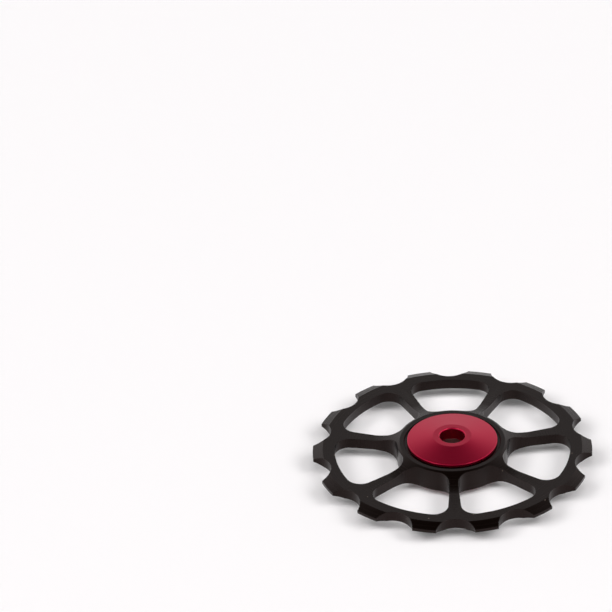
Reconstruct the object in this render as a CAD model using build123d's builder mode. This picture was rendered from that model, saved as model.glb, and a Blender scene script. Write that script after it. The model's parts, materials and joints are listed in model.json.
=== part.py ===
from build123d import *
import math
import os

# A derailleur jockey wheel: a spoked, toothed wheel on a small sealed ball bearing, with an end cap
# on each side and a bush between the caps. Sizes are in millimetres. The origin is the middle of the
# bolt bore at the wheel's mid-plane, +Z runs along the bore, and one spoke points along -Y.

# Chain and teeth
chain_pitch = 12.7
roller_diameter = 7.75
tooth_count = 14
seat_ease = 0.2           # a tooth gap's radius is this much more than the roller's
tip_drop = 0.94           # the tooth tips stop this far inside the chain's pitch circle

# Wheel
disc_thickness = 2.1      # rim and spokes
tip_thickness = 0.65      # land that the two bevels leave on a tooth
bevel_width = 2.0         # measured along a radius
rim_wall = 1.37           # metal between the bottom of a tooth gap and a window
spoke_angle = 7.1         # between the two sides of a spoke, which lie on radii
window_corner = 2.9       # radius of the windows' corners
hub_width = 4.8
hub_ring = 0.9            # flat ring around the recess for a cap
ring_edge = 0.1           # bevel on the inner edge of that ring
flank_run = 5.5           # from the hub ring out to the foot of the hub's flank
flank_dip = 0.24          # the flank is hollow: its middle lies this far below a straight slope
window_step = 0.5         # from the hub ring out to the windows

# Bearing
bearing_bore = 8.0
bearing_diameter = 14.0
bearing_width = 4.0
race_corner = 0.15        # bevel on the corners that meet the hub and the caps
race_gap = 0.9            # between the two races' lands
ball_diameter = 1.588
ball_count = 11
ball_play = 0.01
groove_ease = 0.032       # a groove's radius is this much more than a ball's
cage_play = 0.07          # from the cage to each race
cage_base = 0.3           # ring of the cage below the balls
cage_horn = 0.4           # prongs of the cage above the balls' middle
pocket_play = 0.05
seal_thickness = 0.35
seal_recess = 0.2         # seals lie this far inside the bearing's faces
seal_wall = 0.6           # metal of the outer race around a seal
seal_step = 0.33          # depth of the step in the inner race that a seal runs around
seal_play = 0.08

# Caps and bush
overall_width = 7.4
bolt_bore = 5.0
bore_bevel = 0.15
cap_diameter = 17.8
cap_rim = 0.62            # thickness of a cap at its rim
cap_rim_bevel = 0.07
cap_gap = 0.6             # from a cap's rim to the recess in the hub
cap_relief = 0.2          # from a cap's underside to the hub and the bearing
land_diameter = 7.6       # flat ring at the top of a cap
boss_step = 0.12          # a cap's boss stays this far inside the inner race's shoulder
spigot_length = 0.8
spigot_play = 0.01
bush_gap = 0.02           # from the bush to each spigot

first_angle = -90.0       # a spoke, a tooth gap and a ball lie along -Y
tooth_step = 360.0 / tooth_count
spoke_count = tooth_count // 2

# Radii of the wheel
pitch_radius = chain_pitch / 2 / math.sin(math.radians(tooth_step / 2))
root_radius = pitch_radius - roller_diameter / 2
seat_radius = roller_diameter / 2 + seat_ease
seat_centre = root_radius + seat_radius
tip_radius = pitch_radius - tip_drop
cap_radius = cap_diameter / 2
recess_radius = cap_radius + cap_gap
hub_radius = recess_radius + hub_ring
window_inner = hub_radius + window_step
window_outer = root_radius - rim_wall
flank_foot = hub_radius + flank_run

# Radii and heights of the bearing
ball_radius = ball_diameter / 2
ball_circle = (bearing_bore + bearing_diameter) / 4
groove_radius = ball_radius + groove_ease
inner_land = ball_circle - race_gap / 2
outer_land = ball_circle + race_gap / 2
inner_groove_centre = ball_circle - ball_radius - ball_play + groove_radius
outer_groove_centre = ball_circle + ball_radius + ball_play - groove_radius
seal_floor = bearing_width / 2 - seal_recess - seal_thickness
seal_outer = bearing_diameter / 2 - seal_wall
inner_shoulder = inner_land - seal_step

# Heights of a cap
race_face = bearing_width / 2
cap_underside = race_face + cap_relief
cap_rim_top = cap_underside + cap_rim
land_height = overall_width / 2
spigot_end = race_face - spigot_length
spigot_radius = bearing_bore / 2 - spigot_play
bore_radius = bolt_bore / 2

os.makedirs("parts", exist_ok=True)

# The wheel is turned to its section, then the tooth gaps and the windows are milled through it
with BuildPart() as wheel:
    with BuildSketch(Plane.XZ):
        with BuildLine():
            Polyline(
                (bearing_diameter / 2, 0),
                (bearing_diameter / 2, race_face),
                (recess_radius, race_face),
                (recess_radius, hub_width / 2 - ring_edge),
                (recess_radius + ring_edge, hub_width / 2),
                (hub_radius, hub_width / 2),
            )
            SagittaArc((hub_radius, hub_width / 2), (flank_foot, disc_thickness / 2), -flank_dip)
            Polyline(
                (flank_foot, disc_thickness / 2),
                (tip_radius - bevel_width, disc_thickness / 2),
                (tip_radius, tip_thickness / 2),
                (tip_radius, 0),
                (bearing_diameter / 2, 0),
            )
        make_face()
        mirror(about=Plane.XZ)
    revolve(axis=Axis.Z)
    with BuildSketch() as tooth_gaps:
        with PolarLocations(seat_centre, tooth_count, start_angle=first_angle):
            Circle(seat_radius)
    extrude(amount=disc_thickness, both=True, mode=Mode.SUBTRACT)
    with BuildSketch() as windows:
        Circle(window_outer)
        Circle(window_inner, mode=Mode.SUBTRACT)
        with PolarLocations(0, spoke_count, start_angle=first_angle):
            spoke_half = tip_radius * math.tan(math.radians(spoke_angle / 2))
            Polygon((0, 0), (tip_radius, -spoke_half), (tip_radius, spoke_half), align=None, mode=Mode.SUBTRACT)
        fillet(windows.vertices(), window_corner)
    extrude(amount=hub_width, both=True, mode=Mode.SUBTRACT)
wheel.part.label = "wheel"
export_step(wheel.part, "parts/wheel.step")

# Outer race, fast in the hub: a ball groove between two steps that hold the seals
with BuildPart() as outer_race:
    with BuildSketch(Plane.XZ):
        with BuildLine():
            Polyline(
                (bearing_diameter / 2, 0),
                (bearing_diameter / 2, race_face - race_corner),
                (bearing_diameter / 2 - race_corner, race_face),
                (seal_outer, race_face),
                (seal_outer, seal_floor),
                (outer_land, seal_floor),
                (outer_land, 0),
                close=True,
            )
        make_face()
        mirror(about=Plane.XZ)
        with Locations((outer_groove_centre, 0)):
            Circle(groove_radius, mode=Mode.SUBTRACT)
    revolve(axis=Axis.Z)
outer_race.part.label = "outer_race"
export_step(outer_race.part, "parts/outer_race.step")

# Inner race, clamped between the caps: its steps let the seals run clear
with BuildPart() as inner_race:
    with BuildSketch(Plane.XZ):
        with BuildLine():
            Polyline(
                (bearing_bore / 2, 0),
                (bearing_bore / 2, race_face - race_corner),
                (bearing_bore / 2 + race_corner, race_face),
                (inner_shoulder, race_face),
                (inner_shoulder, seal_floor - seal_play),
                (inner_land, seal_floor - seal_play),
                (inner_land, 0),
                close=True,
            )
        make_face()
        mirror(about=Plane.XZ)
        with Locations((inner_groove_centre, 0)):
            Circle(groove_radius, mode=Mode.SUBTRACT)
    revolve(axis=Axis.Z)
inner_race.part.label = "inner_race"
export_step(inner_race.part, "parts/inner_race.step")

# Crown cage: a ring below the balls, with round pockets drilled through it and prongs between them
with BuildPart() as ball_cage:
    cage_bottom = -ball_radius - pocket_play - cage_base
    with BuildSketch(Plane.XY.offset(cage_bottom)):
        Circle(outer_land - cage_play)
        Circle(inner_land + cage_play, mode=Mode.SUBTRACT)
    extrude(amount=cage_horn - cage_bottom)
    with PolarLocations(ball_circle, ball_count, start_angle=first_angle):
        Cylinder(ball_radius + pocket_play, ball_diameter, rotation=(0, 90, 0), mode=Mode.SUBTRACT)
ball_cage.part.label = "ball_cage"
export_step(ball_cage.part, "parts/ball_cage.step")

# Balls
for number in range(ball_count):
    ball_angle = math.radians(first_angle + number * 360.0 / ball_count)
    with BuildPart() as ball:
        with Locations((ball_circle * math.cos(ball_angle), ball_circle * math.sin(ball_angle), 0)):
            Sphere(ball_radius)
    ball.part.label = f"ball_{number + 1}"
    export_step(ball.part, f"parts/ball_{number + 1}.step")

# Seals: thin discs on the outer race's steps
for side, name in ((1, "seal_upper"), (-1, "seal_lower")):
    with BuildPart() as seal:
        with BuildSketch(Plane.XY.offset(side * seal_floor)):
            Circle(seal_outer)
            Circle(inner_shoulder + seal_play, mode=Mode.SUBTRACT)
        extrude(amount=side * seal_thickness)
    seal.part.label = name
    export_step(seal.part, f"parts/{name}.step")

# Caps: a shallow cone up to a flat land, a boss on the inner race and a spigot in its bore
for side, name in ((1, "cap_upper"), (-1, "cap_lower")):
    with BuildPart() as cap:
        with BuildSketch(Plane.XZ):
            with BuildLine():
                Polyline(
                    (bore_radius, side * spigot_end),
                    (spigot_radius, side * spigot_end),
                    (spigot_radius, side * race_face),
                    (inner_shoulder - boss_step, side * race_face),
                    (inner_shoulder - boss_step, side * cap_underside),
                    (cap_radius, side * cap_underside),
                    (cap_radius, side * (cap_rim_top - cap_rim_bevel)),
                    (cap_radius - cap_rim_bevel, side * cap_rim_top),
                    (land_diameter / 2, side * land_height),
                    (bore_radius + bore_bevel, side * land_height),
                    (bore_radius, side * (land_height - bore_bevel)),
                    close=True,
                )
            make_face()
        revolve(axis=Axis.Z)
    cap.part.label = name
    export_step(cap.part, f"parts/{name}.step")

# Bush between the two spigots, in the inner race's bore
with BuildPart() as axle_bush:
    bush_length = 2 * (spigot_end - bush_gap)
    Cylinder(spigot_radius, bush_length)
    Cylinder(bore_radius, bush_length, mode=Mode.SUBTRACT)
axle_bush.part.label = "axle_bush"
export_step(axle_bush.part, "parts/axle_bush.step")
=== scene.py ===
import json
import math

import bmesh
import bpy
from mathutils import Matrix, Vector
from mathutils.geometry import delaunay_2d_cdt


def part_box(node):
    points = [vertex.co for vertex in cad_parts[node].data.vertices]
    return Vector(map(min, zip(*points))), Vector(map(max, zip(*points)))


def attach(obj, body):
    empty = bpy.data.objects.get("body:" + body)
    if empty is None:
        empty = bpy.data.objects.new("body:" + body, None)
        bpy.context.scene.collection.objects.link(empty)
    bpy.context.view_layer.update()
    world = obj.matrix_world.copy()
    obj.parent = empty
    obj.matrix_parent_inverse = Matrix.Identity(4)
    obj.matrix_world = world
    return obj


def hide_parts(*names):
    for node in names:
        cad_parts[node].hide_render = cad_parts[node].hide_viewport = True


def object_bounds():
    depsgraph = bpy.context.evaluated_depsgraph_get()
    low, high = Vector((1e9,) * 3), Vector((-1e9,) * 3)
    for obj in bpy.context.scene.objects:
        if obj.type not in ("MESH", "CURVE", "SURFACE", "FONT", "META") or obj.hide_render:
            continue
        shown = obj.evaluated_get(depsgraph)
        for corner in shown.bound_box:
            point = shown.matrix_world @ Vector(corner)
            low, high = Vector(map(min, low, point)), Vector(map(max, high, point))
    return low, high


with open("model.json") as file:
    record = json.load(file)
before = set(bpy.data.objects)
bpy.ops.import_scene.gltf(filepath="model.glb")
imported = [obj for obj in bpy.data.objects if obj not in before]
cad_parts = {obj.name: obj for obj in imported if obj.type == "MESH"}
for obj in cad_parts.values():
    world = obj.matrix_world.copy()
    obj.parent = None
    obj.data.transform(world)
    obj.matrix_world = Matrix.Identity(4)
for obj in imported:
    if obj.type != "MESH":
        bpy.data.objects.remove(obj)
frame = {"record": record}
cad_box = [list(corner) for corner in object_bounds()]

# The wheel: one disc of aluminium, turned to its section on both sides, then milled through to leave
# seven spokes and fourteen teeth. Its edges are lightly broken before it is blasted and anodised black.
MM = 0.001              # sizes are written in millimetres, and Blender works in metres
tooth_count = 14
spoke_count = tooth_count // 2
first_angle = math.radians(-90)
chain_pitch = 12.7
roller_diameter = 7.75
seat_ease = 0.2         # a tooth gap's radius is this much more than the roller's
disc_half = 1.05        # half the thickness of the rim and the spokes
tip_half = 0.325        # half the land that the two bevels leave on a tooth
bevel_width = 2.0       # along a radius
rim_wall = 1.37         # metal between the bottom of a tooth gap and a window
spoke_angle = 7.1       # between the two sides of a spoke, which lie on radii
window_corner = 2.9
hub_ring = 0.9          # flat ring round the recess for a cap
ring_edge = 0.1         # bevel on the inner edge of that ring
flank_run = 5.5         # from the hub ring out to the foot of the hub's flank
flank_dip = 0.24        # the flank is hollow: its middle lies this far below a straight slope
window_step = 0.5       # from the hub ring out to the windows
cap_gap = 0.6           # from a cap's rim to the recess
edge_break = 0.03

wheel_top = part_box("wheel")[1]
cap_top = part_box("cap_upper")[1]
race_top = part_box("outer_race")[1]
tip_radius = wheel_top.x / MM
hub_half = wheel_top.z / MM
cap_radius = cap_top.x / MM
seat_bore = race_top.x / MM
race_half = race_top.z / MM

half_step = math.pi / spoke_count
side_angle = math.radians(spoke_angle / 2)
root_radius = chain_pitch / 2 / math.sin(math.pi / tooth_count) - roller_diameter / 2
seat_radius = roller_diameter / 2 + seat_ease
seat_middle = root_radius + seat_radius
bevel_start = tip_radius - bevel_width
recess_radius = cap_radius + cap_gap
hub_radius = recess_radius + hub_ring
window_inner = hub_radius + window_step
window_outer = root_radius - rim_wall
flank_foot = hub_radius + flank_run
flank_drop = hub_half - disc_half
flank_chord = math.hypot(flank_run, flank_drop)
flank_radius = (flank_chord ** 2 / 4 + flank_dip ** 2) / (2 * flank_dip)
flank_reach = (flank_radius - flank_dip) / flank_chord
flank_middle = (
    (hub_radius + flank_foot) / 2 + flank_drop * flank_reach,
    (hub_half + disc_half) / 2 + flank_run * flank_reach,
)

# How finely each stretch of an edge is divided
root_steps = 20
flank_steps = 12
tip_steps = 8
rim_steps = 16
corner_steps = 40
side_steps = 16
hub_steps = 28
row_steps = 6

origin = Vector((0, 0))


def polar(radius, angle):
    """The flat point at this radius and angle about the origin."""
    return Vector((radius * math.cos(angle), radius * math.sin(angle)))


def arc(middle, radius, start, end, steps):
    """Points along an arc, without its last one."""
    return [middle + polar(radius, start + (end - start) * i / steps) for i in range(steps)]


def half_thickness(radius):
    """Height of the turned section above the wheel's mid-plane."""
    if radius > bevel_start:
        return disc_half - (disc_half - tip_half) * (radius - bevel_start) / bevel_width
    if radius > flank_foot:
        return disc_half
    if radius > hub_radius:
        return flank_middle[1] - math.sqrt(flank_radius ** 2 - (flank_middle[0] - radius) ** 2)
    return hub_half


def tooth_edge(inset):
    """From the middle of a tooth gap over a tooth to the middle of the next, set back into the metal."""
    seat = seat_radius + inset
    tip = tip_radius - inset
    middle = Vector((seat_middle, 0))

    def turn(radius):
        """How far round the seat its edge comes to this radius."""
        return math.acos((radius ** 2 - seat_middle ** 2 - seat ** 2) / (2 * seat_middle * seat))

    corner = middle + polar(seat, turn(tip))
    rise = arc(middle, seat, math.pi, turn(bevel_start), root_steps)
    rise += arc(middle, seat, turn(bevel_start), turn(tip), flank_steps)
    rise += arc(origin, tip, math.atan2(corner.y, corner.x), half_step / 2, tip_steps)
    fall = [polar(point.length, half_step - math.atan2(point.y, point.x)) for point in reversed(rise)]
    return rise + [polar(tip, half_step / 2)] + fall


def window_edge(inset):
    """Half a window's edge, from the middle of the rim along a spoke to the middle of the hub, set back."""
    outer_turn = side_angle + math.asin(window_corner / (window_outer - window_corner))
    inner_turn = side_angle + math.asin(window_corner / (window_inner + window_corner))
    outer_middle = polar(window_outer - window_corner, outer_turn)
    inner_middle = polar(window_inner + window_corner, inner_turn)
    to_spoke = side_angle - math.pi / 2
    side_start = outer_middle + polar(window_corner + inset, to_spoke)
    side_end = inner_middle + polar(window_corner + inset, to_spoke)
    edge = arc(origin, window_outer + inset, half_step, outer_turn, rim_steps)
    edge += arc(outer_middle, window_corner + inset, outer_turn, to_spoke, corner_steps)
    foot = polar(math.sqrt(flank_foot ** 2 - inset ** 2), side_angle) + polar(inset, to_spoke)
    for start, end in ((side_start, foot), (foot, side_end)):
        edge += [start.lerp(end, i / side_steps) for i in range(side_steps)]
    edge += arc(inner_middle, window_corner + inset, to_spoke, inner_turn - math.pi, corner_steps)
    edge += arc(origin, window_inner - inset, inner_turn, half_step, rim_steps)
    return edge + [polar(window_inner - inset, half_step)]


def ring_row(radius, end, steps):
    """Points along an arc about the axle, from the spoke's middle line to the angle end."""
    return [polar(radius, end * i / steps) for i in range(steps + 1)]


# One face of half a spoke and half a window, as triangles between its edges and the rings of the section
inner_row = ring_row(recess_radius + ring_edge, half_step, hub_steps)
tooth_inset = tooth_edge(edge_break)
window_inset = window_edge(edge_break)
face_loop = tooth_inset + window_inset + inner_row[::-1]
hub_row = ring_row(hub_radius, half_step, hub_steps)
flank_rows = [
    ring_row(point.length, math.atan2(point.y, point.x), row_steps)
    for point in window_inset[rim_steps:-rim_steps]
    if point.length < flank_foot + edge_break
]
crease_angle = math.atan2(tooth_inset[root_steps].y, tooth_inset[root_steps].x)
crease_row = [
    polar(bevel_start, crease_angle + (half_step - 2 * crease_angle) * i / tip_steps)
    for i in range(tip_steps + 1)
]
flat_points = list(face_loop)
row_edges = []
for row in [hub_row, *flank_rows, crease_row]:
    first = len(flat_points)
    flat_points += row
    row_edges += [(first + i, first + i + 1) for i in range(len(row) - 1)]
inside_only = 1
same_point = 1e-5
points, _, triangles, _, _, _ = delaunay_2d_cdt(
    flat_points, row_edges, [list(range(len(face_loop)))], inside_only, same_point
)

sector = bmesh.new()
for side in (1, -1):
    corners = [sector.verts.new((p.x, p.y, side * half_thickness(p.length))) for p in points]
    for triangle in triangles:
        sector.faces.new([corners[i] for i in triangle])


def strip(made, rows):
    """Faces between each row of points and the next."""
    rows = [[made.verts.new(point) for point in row] for row in rows]
    for low, high in zip(rows, rows[1:]):
        for i in range(len(low) - 1):
            made.faces.new((low[i], low[i + 1], high[i + 1], high[i]))


# The milled walls, with their broken edges, and the turned recess and bore
for milled_edge in (tooth_edge, window_edge):
    top = [(p.x, p.y, half_thickness(p.length)) for p in milled_edge(edge_break)]
    wall = [(p.x, p.y, half_thickness(p.length) - edge_break) for p in milled_edge(0)]
    strip(sector, [top, wall, [(x, y, -z) for x, y, z in wall], [(x, y, -z) for x, y, z in top]])

bore_section = [
    (recess_radius + ring_edge, hub_half),
    (recess_radius, hub_half - ring_edge),
    (recess_radius, race_half),
    (seat_bore, race_half),
]
bore_section += [(radius, -height) for radius, height in reversed(bore_section)]
strip(
    sector,
    [
        [(*(point.normalized() * radius), height) for point in inner_row]
        for radius, height in bore_section
    ],
)
sector_mesh = bpy.data.meshes.new("wheel")
bmesh.ops.scale(sector, vec=(MM, MM, MM), verts=sector.verts)
sector.to_mesh(sector_mesh)
sector.free()


def add_node(tree, kind, inputs=None, **settings):
    """One node with its settings; an input, by name or number, is a value or a socket to link."""
    made = tree.nodes.new(kind)
    for name, value in settings.items():
        setattr(made, name, value)
    for name, value in (inputs or {}).items():
        if isinstance(value, bpy.types.NodeSocket):
            tree.links.new(value, made.inputs[name])
        else:
            made.inputs[name].default_value = value
    return made


def linear(hex_colour):
    """An sRGB hex colour as linear red, green, blue and alpha."""
    shares = [int(hex_colour[i:i + 2], 16) / 255 for i in (1, 3, 5)]
    return [s / 12.92 if s <= 0.04045 else ((s + 0.055) / 1.055) ** 2.4 for s in shares] + [1.0]


# Black anodised aluminium, blasted and dyed: a deep warm black under a clear oxide skin, satin, with a fine
# grain, faint rings from the lathe and a few specks of dust. The grain and the rings are drawn coarser than
# the real ones, so that they show.
grain_size = 0.12
ring_width = 0.5
dust_spacing = 3.5
speck_core = 0.02       # a speck is full up to this share of the dust's spacing
speck_edge = 0.045      # and gone at this one
noise_low = 0.3         # a noise lies mostly between these two levels
noise_high = 0.7
first_colour = 6        # numbers of a Mix node's two inputs and its output for colours
second_colour = 7
mixed_colour = 2
black_anodised = bpy.data.materials.new("black_anodised_aluminium")
black_anodised.use_nodes = True
tree = black_anodised.node_tree
tree.nodes.clear()
place = add_node(tree, "ShaderNodeTexCoord").outputs["Object"]
grain = add_node(
    tree, "ShaderNodeTexNoise", {"Vector": place, "Scale": 1 / (grain_size * MM), "Detail": 3.0}
).outputs["Fac"]
flat_place = add_node(
    tree, "ShaderNodeVectorMath", {0: place, 1: (1, 1, 0)}, operation="MULTIPLY"
).outputs[0]
from_axle = add_node(
    tree, "ShaderNodeVectorMath", {0: flat_place}, operation="LENGTH"
).outputs["Value"]
rings = add_node(
    tree, "ShaderNodeTexNoise",
    {"W": from_axle, "Scale": 1 / (ring_width * MM), "Detail": 2.0},
    noise_dimensions="1D",
).outputs["Fac"]
marks = add_node(tree, "ShaderNodeMath", {0: rings, 1: grain}, operation="ADD").outputs[0]
roughness = add_node(
    tree, "ShaderNodeMapRange",
    {"Value": marks, "From Min": 2 * noise_low, "From Max": 2 * noise_high, "To Min": 0.2, "To Max": 0.3},
).outputs[0]
bump = add_node(
    tree, "ShaderNodeBump", {"Height": marks, "Strength": 0.08, "Distance": 0.02 * MM}
).outputs[0]
dust = add_node(
    tree, "ShaderNodeTexVoronoi", {"Vector": place, "Scale": 1 / (dust_spacing * MM)}
).outputs["Distance"]
speck = add_node(
    tree, "ShaderNodeMapRange",
    {"Value": dust, "From Min": speck_core, "From Max": speck_edge, "To Min": 1.0, "To Max": 0.0},
).outputs[0]
colour = add_node(
    tree, "ShaderNodeMix",
    {0: speck, first_colour: linear("#060302"), second_colour: linear("#6a6058")},
    data_type="RGBA",
).outputs[mixed_colour]
shader = add_node(
    tree, "ShaderNodeBsdfPrincipled",
    {"Base Color": colour, "Roughness": roughness, "Normal": bump,
     "IOR": 1.3, "Specular Tint": linear("#ffdfda")},
)
add_node(tree, "ShaderNodeOutputMaterial", {"Surface": shader.outputs[0]})

# A half sector is mirrored to a whole one and repeated round the axle
repeat = bpy.data.node_groups.new("round_the_axle", "GeometryNodeTree")
repeat.is_modifier = True
repeat.interface.new_socket("Sector", in_out="INPUT", socket_type="NodeSocketGeometry")
count_socket = repeat.interface.new_socket("Count", in_out="INPUT", socket_type="NodeSocketInt")
angle_socket = repeat.interface.new_socket("First angle", in_out="INPUT", socket_type="NodeSocketFloat")
seam_socket = repeat.interface.new_socket("Seam", in_out="INPUT", socket_type="NodeSocketFloat")
finish_socket = repeat.interface.new_socket("Finish", in_out="INPUT", socket_type="NodeSocketMaterial")
repeat.interface.new_socket("Whole", in_out="OUTPUT", socket_type="NodeSocketGeometry")
given = add_node(repeat, "NodeGroupInput").outputs
mirrored = add_node(
    repeat, "GeometryNodeTransform", {"Geometry": given["Sector"], "Scale": (1, -1, 1)}
).outputs[0]
flipped = add_node(repeat, "GeometryNodeFlipFaces", {"Mesh": mirrored}).outputs[0]
whole_sector = add_node(repeat, "GeometryNodeJoinGeometry", {0: flipped})
repeat.links.new(given["Sector"], whole_sector.inputs[0])
places = add_node(repeat, "GeometryNodePoints", {"Count": given["Count"]}).outputs[0]
step = add_node(
    repeat, "ShaderNodeMath", {0: 2 * math.pi, 1: given["Count"]}, operation="DIVIDE"
).outputs[0]
copy_number = add_node(repeat, "GeometryNodeInputIndex").outputs[0]
angle = add_node(
    repeat, "ShaderNodeMath", {0: copy_number, 1: step, 2: given["First angle"]}, operation="MULTIPLY_ADD"
).outputs[0]
turned_by = add_node(repeat, "ShaderNodeCombineXYZ", {"Z": angle}).outputs[0]
copies = add_node(
    repeat, "GeometryNodeInstanceOnPoints",
    {"Points": places, "Instance": whole_sector.outputs[0], "Rotation": turned_by},
).outputs[0]
whole = add_node(repeat, "GeometryNodeRealizeInstances", {0: copies}).outputs[0]
closed = add_node(
    repeat, "GeometryNodeMergeByDistance", {0: whole, "Distance": given["Seam"]}
).outputs[0]
finished = add_node(
    repeat, "GeometryNodeSetMaterial", {0: closed, "Material": given["Finish"]}
).outputs[0]
add_node(repeat, "NodeGroupOutput", {0: finished})

seam = 1e-7             # in metres: points nearer than this are joined
sharp_angle = math.radians(6)


def repeat_round(piece, count, finish):
    """Repeats the piece's half sector round the axle, the first of count along -Y."""
    modifier = piece.modifiers.new("round_the_axle", "NODES")
    modifier.node_group = repeat
    modifier[count_socket.identifier] = count
    modifier[angle_socket.identifier] = first_angle
    modifier[seam_socket.identifier] = seam
    modifier[finish_socket.identifier] = finish


def plain_mesh(piece):
    """The piece's evaluated shape as its own mesh, closed, facing outwards, smooth between sharp edges."""
    shape = piece.evaluated_get(bpy.context.evaluated_depsgraph_get())
    piece.data = bpy.data.meshes.new_from_object(shape)
    piece.modifiers.clear()
    made = bmesh.new()
    made.from_mesh(piece.data)
    bmesh.ops.remove_doubles(made, verts=made.verts, dist=seam)
    bmesh.ops.recalc_face_normals(made, faces=made.faces)
    made.to_mesh(piece.data)
    made.free()
    piece.data.shade_smooth()
    piece.data.set_sharp_from_angle(angle=sharp_angle)


wheel = bpy.data.objects.new("anodised_wheel", sector_mesh)
bpy.context.scene.collection.objects.link(wheel)
repeat_round(wheel, spoke_count, black_anodised)
plain_mesh(wheel)
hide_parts("wheel")
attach(wheel, "wheel")

# The bearing's races: two rings of zirconia, ground all over, with a groove for the balls and steps for
# the seals. The outer one is pressed into the hub and the inner one is clamped between the caps.
turned_steps = 288
groove_steps = 24
ball_circle = 5.5
groove_radius = 0.826
groove_shift = 0.022    # from the ball circle to the middle of a groove's arc
race_corner = 0.15
race_edge = 0.03
race_bore = 4.0
outer_land = 5.95
inner_land = 5.05
seal_outer = 6.4
inner_shoulder = 4.72
seal_floor = 1.45       # height of the outer race's step
inner_floor = 1.37      # height of the inner race's step


def break_edges(piece, edge):
    """Breaks the piece's sharp corners by edge."""
    broken = piece.modifiers.new("broken_edges", "BEVEL")
    broken.width = edge * MM
    broken.segments = 2
    broken.limit_method = "ANGLE"
    broken.angle_limit = math.radians(30)


def turned(name, section, edge):
    """A piece turned about the axle from its closed section, with its corners broken by edge."""
    made = bmesh.new()
    rows = [
        [(*polar(radius, 2 * math.pi * i / turned_steps), height) for i in range(turned_steps + 1)]
        for radius, height in section + section[:1]
    ]
    strip(made, rows)
    bmesh.ops.scale(made, vec=(MM, MM, MM), verts=made.verts)
    bmesh.ops.remove_doubles(made, verts=made.verts, dist=seam)
    bmesh.ops.recalc_face_normals(made, faces=made.faces)
    mesh = bpy.data.meshes.new(name)
    made.to_mesh(mesh)
    made.free()
    piece = bpy.data.objects.new(name, mesh)
    bpy.context.scene.collection.objects.link(piece)
    break_edges(piece, edge)
    plain_mesh(piece)
    return piece


def grained(name, hex_colour, grain_size, smoothest, roughest, **settings):
    """A material of one colour, with a grain that varies its shine, drawn coarser than the real one."""
    finish = bpy.data.materials.new(name)
    finish.use_nodes = True
    tree = finish.node_tree
    tree.nodes.clear()
    place = add_node(tree, "ShaderNodeTexCoord").outputs["Object"]
    grain = add_node(
        tree, "ShaderNodeTexNoise", {"Vector": place, "Scale": 1 / (grain_size * MM), "Detail": 3.0}
    ).outputs["Fac"]
    roughness = add_node(
        tree, "ShaderNodeMapRange",
        {"Value": grain, "From Min": noise_low, "From Max": noise_high,
         "To Min": smoothest, "To Max": roughest},
    ).outputs[0]
    bump = add_node(
        tree, "ShaderNodeBump", {"Height": grain, "Strength": 0.1, "Distance": 0.01 * MM}
    ).outputs[0]
    shader = add_node(
        tree, "ShaderNodeBsdfPrincipled",
        {"Base Color": linear(hex_colour), "Roughness": roughness, "Normal": bump, **settings},
    )
    add_node(tree, "ShaderNodeOutputMaterial", {"Surface": shader.outputs[0]})
    return finish


def put_in_place(piece, finish, node, body):
    """Gives the piece its material and puts it in its node's place."""
    piece.data.materials.clear()
    piece.data.materials.append(finish)
    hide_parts(node)
    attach(piece, body)


def race_section(upper_half, groove_middle, groove_side):
    """A race's closed section: half of it, its mirror image and the groove between the two."""
    land = upper_half[-1][0]
    turn = math.acos((land - groove_middle) / groove_radius * groove_side)
    groove = arc(origin, groove_radius, turn, -turn, groove_steps)
    groove = [(groove_middle + groove_side * point.x, point.y) for point in groove]
    groove.append((land, -groove[0][1]))
    return upper_half + groove + [(radius, -height) for radius, height in reversed(upper_half)]


outer_half = [
    (seat_bore, race_half - race_corner),
    (seat_bore - race_corner, race_half),
    (seal_outer, race_half),
    (seal_outer, seal_floor),
    (outer_land, seal_floor),
]
inner_half = [
    (race_bore, race_half - race_corner),
    (race_bore + race_corner, race_half),
    (inner_shoulder, race_half),
    (inner_shoulder, inner_floor),
    (inner_land, inner_floor),
]

# Ground zirconia: warm white and close-grained, with a satin shine.
ground_zirconia = grained(
    "ground_zirconia", "#e6e1d6", grain_size=0.1, smoothest=0.22, roughest=0.32, IOR=2.1
)

outer_section = race_section(outer_half, ball_circle - groove_shift, 1)
inner_section = race_section(inner_half, ball_circle + groove_shift, -1)
outer_race = turned("zirconia_outer_race", outer_section, race_edge)
inner_race = turned("zirconia_inner_race", inner_section, race_edge)
put_in_place(outer_race, ground_zirconia, "outer_race", "wheel")
put_in_place(inner_race, ground_zirconia, "inner_race", "axle")

# The balls: eleven spheres of zirconia, lapped and polished. They are loose between the two grooves, held
# apart by the cage.
ball_count = 11
ball_radius = 0.794

# Polished zirconia: a paler white than the races, with sharp reflections.
polished_zirconia = grained(
    "polished_zirconia", "#eae6dd", grain_size=0.1, smoothest=0.06, roughest=0.1, IOR=2.1
)

for number in range(ball_count):
    ball_middle = polar(ball_circle, first_angle + 2 * math.pi * number / ball_count).to_3d() * MM
    sphere = bmesh.new()
    bmesh.ops.create_icosphere(
        sphere, subdivisions=4, radius=ball_radius * MM, matrix=Matrix.Translation(ball_middle)
    )
    ball_mesh = bpy.data.meshes.new(f"zirconia_ball_{number + 1}")
    sphere.to_mesh(ball_mesh)
    sphere.free()
    ball_mesh.shade_smooth()
    ball = bpy.data.objects.new(ball_mesh.name, ball_mesh)
    bpy.context.scene.collection.objects.link(ball)
    put_in_place(ball, polished_zirconia, f"ball_{number + 1}", f"ball_{number + 1}")

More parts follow.
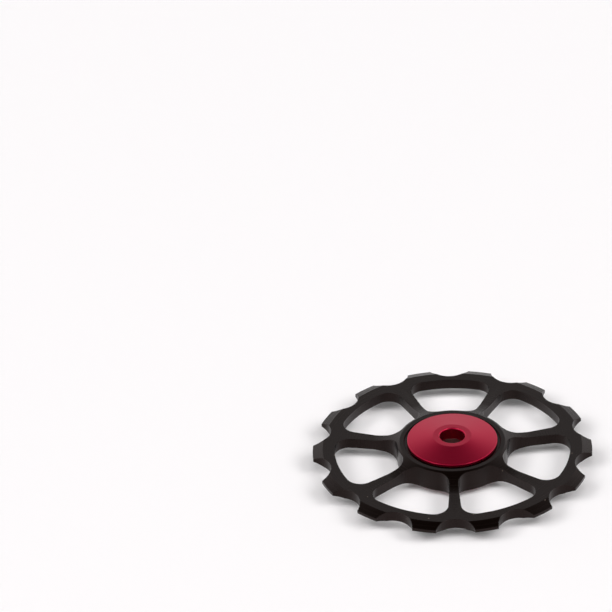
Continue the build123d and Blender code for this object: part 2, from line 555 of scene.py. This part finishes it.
# The cage: a crown moulded in plastic, which is a ring below the balls with prongs between them. Each ball
# snaps into a round pocket from above, so that the cage goes round with the balls.
cage_low, cage_high = (corner.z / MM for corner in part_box("ball_cage"))
cage_radii = (5.12, 5.88)
cage_edge = 0.04
pocket_radius = 0.844
pocket_steps = 20
prong_steps = 8
half_pocket_step = math.pi / ball_count
pocket_top = math.asin(cage_high / pocket_radius)
pocket_edge = arc(origin, pocket_radius, -math.pi / 2, pocket_top, pocket_steps)
pocket_edge.append(polar(pocket_radius, pocket_top))
cage_faces = []
for radius in cage_radii:
    face = []
    for reach, height in [(0, cage_low), *pocket_edge]:
        start = math.asin(reach / radius)
        turns = [start + (half_pocket_step - start) * i / prong_steps for i in range(prong_steps + 1)]
        face.append([(*polar(radius, turn), height) for turn in turns])
    cage_faces.append(face)
half_pocket = bmesh.new()
for face in cage_faces:
    strip(half_pocket, face)
strip(half_pocket, [face[0] for face in cage_faces])
strip(half_pocket, [face[-1] for face in cage_faces])
strip(half_pocket, [[row[0] for row in face[1:]] for face in cage_faces])
bmesh.ops.scale(half_pocket, vec=(MM, MM, MM), verts=half_pocket.verts)
bmesh.ops.remove_doubles(half_pocket, verts=half_pocket.verts, dist=seam)
bmesh.ops.recalc_face_normals(half_pocket, faces=half_pocket.faces)
pocket_mesh = bpy.data.meshes.new("plastic_cage")
half_pocket.to_mesh(pocket_mesh)
half_pocket.free()

# Polyamide, moulded without dye: cream-coloured and matt.
natural_polyamide = grained(
    "natural_polyamide", "#dbd3bd", grain_size=0.2, smoothest=0.45, roughest=0.6
)

cage = bpy.data.objects.new("plastic_cage", pocket_mesh)
bpy.context.scene.collection.objects.link(cage)
repeat_round(cage, ball_count, natural_polyamide)
break_edges(cage, cage_edge)
plain_mesh(cage)
put_in_place(cage, natural_polyamide, "ball_cage", "cage")

# The seals: thin discs of rubber, one on each side of the balls. They are pressed into the outer race's
# steps and run clear of the inner race.
seal_inner = 4.8
seal_thickness = 0.35
seal_edge = 0.05
seal_section = [
    (seal_inner, seal_floor),
    (seal_outer, seal_floor),
    (seal_outer, seal_floor + seal_thickness),
    (seal_inner, seal_floor + seal_thickness),
]

# Nitrile rubber: near-black, matt, with a fine moulded grain.
nitrile_rubber = grained("nitrile_rubber", "#1a1919", grain_size=0.15, smoothest=0.55, roughest=0.75)

for side, node in ((1, "seal_upper"), (-1, "seal_lower")):
    side_section = [(radius, side * height) for radius, height in seal_section]
    seal = turned("rubber_" + node, side_section, seal_edge)
    put_in_place(seal, nitrile_rubber, node, "wheel")

# The bush: a plain turned tube of aluminium in the inner race's bore, between the two caps' spigots. The
# bolt goes through it.
bolt_radius = frame["record"]["mounts"][0]["dims"]["r_mm"]
bush_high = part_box("axle_bush")[1].z / MM
spigot_radius = 3.99
bush_edge = 0.05
bush_section = [
    (bolt_radius, -bush_high),
    (spigot_radius, -bush_high),
    (spigot_radius, bush_high),
    (bolt_radius, bush_high),
]

# Plain aluminium, turned and not anodised: grey, with a dull shine.
plain_aluminium = grained(
    "plain_aluminium", "#a8a29a", grain_size=0.08, smoothest=0.35, roughest=0.45, Metallic=1.0
)

bush = turned("aluminium_bush", bush_section, bush_edge)
put_in_place(bush, plain_aluminium, "axle_bush", "axle")

# The caps: turned from aluminium bar and anodised red. A spigot goes into the bearing's bore, a boss bears
# on the inner race, and the coned face ends in a flat land round the bolt's bore.
bore_bevel = 0.15
land_radius = 3.8
rim_thickness = 0.62
rim_bevel = 0.07
cap_relief = 0.2        # from a cap's underside to the bearing
cap_edge = 0.03
boss_radius = 4.6
land_height = cap_top.z / MM
spigot_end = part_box("cap_upper")[0].z / MM
underside = race_half + cap_relief
rim_top = underside + rim_thickness
cap_section = [
    (bolt_radius, spigot_end),
    (spigot_radius, spigot_end),
    (spigot_radius, race_half),
    (boss_radius, race_half),
    (boss_radius, underside),
    (cap_radius, underside),
    (cap_radius, rim_top - rim_bevel),
    (cap_radius - rim_bevel, rim_top),
    (land_radius, land_height),
    (bolt_radius + bore_bevel, land_height),
    (bolt_radius, land_height - bore_bevel),
]

# Red anodised aluminium, turned and dyed: a deep crimson metal under a clear oxide skin, with fine rings
# from the lathe, which are drawn coarser than the real ones.
groove_pitch = 0.15
red_anodised = bpy.data.materials.new("red_anodised_aluminium")
red_anodised.use_nodes = True
tree = red_anodised.node_tree
tree.nodes.clear()
place = add_node(tree, "ShaderNodeTexCoord").outputs["Object"]
flat_place = add_node(
    tree, "ShaderNodeVectorMath", {0: place, 1: (1, 1, 0)}, operation="MULTIPLY"
).outputs[0]
from_axle = add_node(
    tree, "ShaderNodeVectorMath", {0: flat_place}, operation="LENGTH"
).outputs["Value"]
rings = add_node(
    tree, "ShaderNodeTexNoise",
    {"W": from_axle, "Scale": 1 / (groove_pitch * MM), "Detail": 2.0},
    noise_dimensions="1D",
).outputs["Fac"]
roughness = add_node(
    tree, "ShaderNodeMapRange",
    {"Value": rings, "From Min": noise_low, "From Max": noise_high, "To Min": 0.36, "To Max": 0.42},
).outputs[0]
bump = add_node(
    tree, "ShaderNodeBump", {"Height": rings, "Strength": 0.05, "Distance": 0.01 * MM}
).outputs[0]
shader = add_node(
    tree, "ShaderNodeBsdfPrincipled",
    {"Base Color": linear("#c20a3c"), "Metallic": 1.0, "Roughness": roughness, "Normal": bump,
     "Coat Weight": 0.3, "Coat Roughness": 0.15, "Coat IOR": 1.5, "Coat Normal": bump},
)
add_node(tree, "ShaderNodeOutputMaterial", {"Surface": shader.outputs[0]})

for side, node in ((1, "cap_upper"), (-1, "cap_lower")):
    side_section = [(radius, side * height) for radius, height in cap_section]
    cap = turned("anodised_" + node, side_section, cap_edge)
    put_in_place(cap, red_anodised, node, "axle")

# The floor: a sheet of white paper, which the lower cap's land lies on. It is a little brighter than its
# light makes it, to the camera and in the metal, as an overexposed sheet is.
floor_height = cad_box[0][2]
floor_size = 4.0        # in metres
paper_glow = 0.08
bpy.ops.mesh.primitive_plane_add(size=floor_size, location=(0, 0, floor_height))
floor = bpy.context.object
floor.name = "paper_floor"
paper = bpy.data.materials.new("white_paper")
paper.use_nodes = True
tree = paper.node_tree
tree.nodes.clear()
path = add_node(tree, "ShaderNodeLightPath").outputs
seen = add_node(
    tree, "ShaderNodeMath", {0: path["Is Camera Ray"], 1: path["Is Glossy Ray"]}, operation="ADD"
).outputs[0]
seen = add_node(
    tree, "ShaderNodeMath", {0: seen, 1: path["Is Transmission Ray"]}, operation="ADD"
).outputs[0]
glow = add_node(tree, "ShaderNodeMath", {0: seen, 1: paper_glow}, operation="MULTIPLY").outputs[0]
lit = add_node(tree, "ShaderNodeBsdfDiffuse", {"Color": linear("#f3f0f1")}).outputs[0]
glowing = add_node(tree, "ShaderNodeEmission", {"Strength": glow}).outputs[0]
shader = add_node(tree, "ShaderNodeAddShader", {0: lit, 1: glowing})
add_node(tree, "ShaderNodeOutputMaterial", {"Surface": shader.outputs[0]})
floor.data.materials.append(paper)

# The light: a white room, dark overhead and brighter at its two sides, with a soft box at the left and one
# at the right, and a weaker lamp in front. The lamps light the paper, and the metal shows the room and the
# soft boxes.

# Each pair is a height in the room, as the sine of the angle above the floor, and the level there
back_levels = ((0.0, 0.75), (0.5, 0.8), (0.6, 0.62), (0.72, 0.1), (0.85, 0.0), (1.0, 0.0))
side_levels = ((0.0, 0.5), (0.3, 0.9), (0.55, 0.9), (0.7, 0.45), (0.85, 0.25), (1.0, 0.0))
side_gain = 1.5
side_from = 0.1         # the room turns from its back to its sides between these two
side_full = 0.5
fill_colour = (0.04, 0.04, 0.04, 1)
white = (1, 1, 1, 1)
softbox_towards = Vector((0.58, -0.38, 0.72)).normalized()
softbox_level = 3.0
softbox_edge = math.cos(math.radians(12))   # a soft box fades between these two angles from its middle
softbox_core = math.cos(math.radians(7))
world = bpy.data.worlds.new("studio")
bpy.context.scene.world = world
world.use_nodes = True
tree = world.node_tree
tree.nodes.clear()
direction = add_node(tree, "ShaderNodeTexCoord").outputs["Generated"]
across, onward, upward = add_node(tree, "ShaderNodeSeparateXYZ", {0: direction}).outputs
walls = []
for levels in (back_levels, side_levels):
    ramp = add_node(tree, "ShaderNodeValToRGB", {"Fac": upward})
    stops = ramp.color_ramp.elements
    for height, level in levels:
        stop = stops[0] if height == 0.0 else stops[-1] if height == 1.0 else stops.new(height)
        stop.color = (level, level, level, 1)
    walls.append(ramp.outputs[0])
bright_side = add_node(
    tree, "ShaderNodeVectorMath", {0: walls[1], "Scale": side_gain}, operation="SCALE"
).outputs[0]
sideways = add_node(tree, "ShaderNodeMath", {0: across}, operation="ABSOLUTE").outputs[0]
share = add_node(
    tree, "ShaderNodeMapRange",
    {"Value": sideways, "From Min": side_from, "From Max": side_full},
    interpolation_type="SMOOTHSTEP",
).outputs[0]
room = add_node(
    tree, "ShaderNodeMix",
    {0: share, first_colour: walls[0], second_colour: bright_side},
    data_type="RGBA",
).outputs[mixed_colour]
folded = add_node(tree, "ShaderNodeCombineXYZ", {0: sideways, 1: onward, 2: upward}).outputs[0]
nearness = add_node(
    tree, "ShaderNodeVectorMath", {0: folded, 1: softbox_towards}, operation="DOT_PRODUCT"
).outputs["Value"]
softbox = add_node(
    tree, "ShaderNodeMapRange",
    {"Value": nearness, "From Min": softbox_edge, "From Max": softbox_core, "To Max": softbox_level},
    interpolation_type="SMOOTHSTEP",
).outputs[0]
room = add_node(tree, "ShaderNodeVectorMath", {0: room, 1: softbox}, operation="ADD").outputs[0]
path = add_node(tree, "ShaderNodeLightPath").outputs
around = add_node(
    tree, "ShaderNodeMix",
    {0: path["Is Diffuse Ray"], first_colour: room, second_colour: fill_colour},
    data_type="RGBA",
).outputs[mixed_colour]
shown = add_node(
    tree, "ShaderNodeMix",
    {0: path["Is Camera Ray"], first_colour: around, second_colour: white},
    data_type="RGBA",
).outputs[mixed_colour]
sky = add_node(tree, "ShaderNodeBackground", {"Color": shown})
add_node(tree, "ShaderNodeOutputWorld", {"Surface": sky.outputs[0]})

# The lamps stand where the soft boxes show and in front, and the metal doesn't show them again
lamp_distance = 12.0    # in metres, as is their size
lamp_size = 6.0
side_watts = 660.0
front_watts = 510.0
for lamp_name, towards, watts in (
    ("left_lamp", softbox_towards * Vector((-1, 1, 1)), side_watts),
    ("right_lamp", softbox_towards, side_watts),
    ("front_lamp", Vector((0, -0.5, 0.86)).normalized(), front_watts),
):
    lamp = bpy.data.lights.new(lamp_name, "AREA")
    lamp.size = lamp_size
    lamp.energy = watts
    hung_lamp = bpy.data.objects.new(lamp_name, lamp)
    bpy.context.scene.collection.objects.link(hung_lamp)
    hung_lamp.location = lamp_distance * towards
    hung_lamp.rotation_euler = towards.to_track_quat("Z", "Y").to_euler()
    hung_lamp.visible_glossy = False

# The camera: stands where the photograph was taken from and aims past the wheel, which then lies low on
# the right of the picture.
picture_size = 612      # in pixels
pixels_per_mm = 5.06
view_distance = 1200
view_elevation = math.radians(35.0)
view_azimuth = math.radians(-0.87)
view_roll = math.radians(-1.675)
aim_right = -28.555
aim_up = 28.985
camera = bpy.data.objects.new("camera", bpy.data.cameras.new("camera"))
bpy.context.scene.collection.objects.link(camera)
bpy.context.scene.camera = camera
camera.data.sensor_width = 36
camera.data.lens = camera.data.sensor_width * pixels_per_mm * view_distance / picture_size
camera.data.clip_start = 0.01
rightward = Vector((math.cos(view_azimuth), math.sin(view_azimuth), 0))
back = Vector((
    math.sin(view_azimuth) * math.cos(view_elevation),
    -math.cos(view_azimuth) * math.cos(view_elevation),
    math.sin(view_elevation),
))
aim = rightward * aim_right + back.cross(rightward) * aim_up
sight = back * view_distance - aim
level_turn = sight.to_track_quat("Z", "Y").to_matrix()
camera.location = back * view_distance * MM
camera.rotation_euler = (level_turn @ Matrix.Rotation(view_roll, 3, "Z")).to_euler()

bpy.context.scene.view_settings.view_transform = "Standard"
